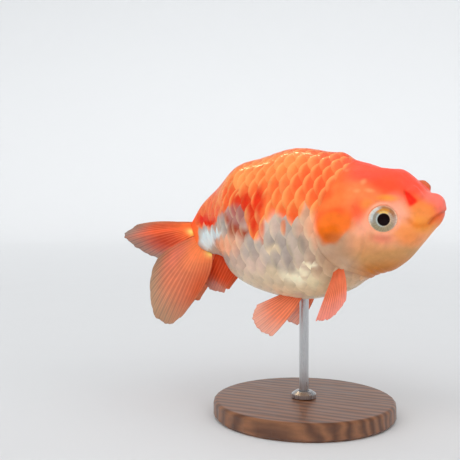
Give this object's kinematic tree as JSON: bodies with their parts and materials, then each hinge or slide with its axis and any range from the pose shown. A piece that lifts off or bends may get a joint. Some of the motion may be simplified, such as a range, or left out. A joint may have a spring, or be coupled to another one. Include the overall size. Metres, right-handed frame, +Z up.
{
  "type": "goldfish display model",
  "caption": "Life-size ranchu goldfish with a humped, finless back and a fanned double tail, swimming level on a rod above a round wooden base.",
  "frame": {"origin": "middle of the stand base's underside, on the table top", "axes": "+X towards the fish's snout, +Y towards the fish's left side, +Z up"},
  "size_m": [0.1118, 0.062, 0.0915],
  "materials": {
    "skin": "wet, glossy, scaled",
    "fin": "translucent, rayed",
    "eye": "wet gloss",
    "base_wood": "satin walnut",
    "rod_steel": "brushed"
  },
  "bodies": {
    "root": {"head": "skin", "lower_jaw": "skin", "gill_cover_left": "skin", "gill_cover_right": "skin", "trunk": "skin", "tail_stem": "skin", "eye_left": "eye", "eye_right": "eye", "tail_fin_upper_left": "fin", "tail_fin_upper_right": "fin", "tail_fin_lower_left": "fin", "tail_fin_lower_right": "fin", "pectoral_fin_left": "fin", "pectoral_fin_right": "fin", "pelvic_fin_left": "fin", "pelvic_fin_right": "fin", "anal_fin_left": "fin", "anal_fin_right": "fin", "stand_base": "base_wood", "stand_rod": "rod_steel", "stand_collar": "rod_steel"}
  },
  "joints": []
}
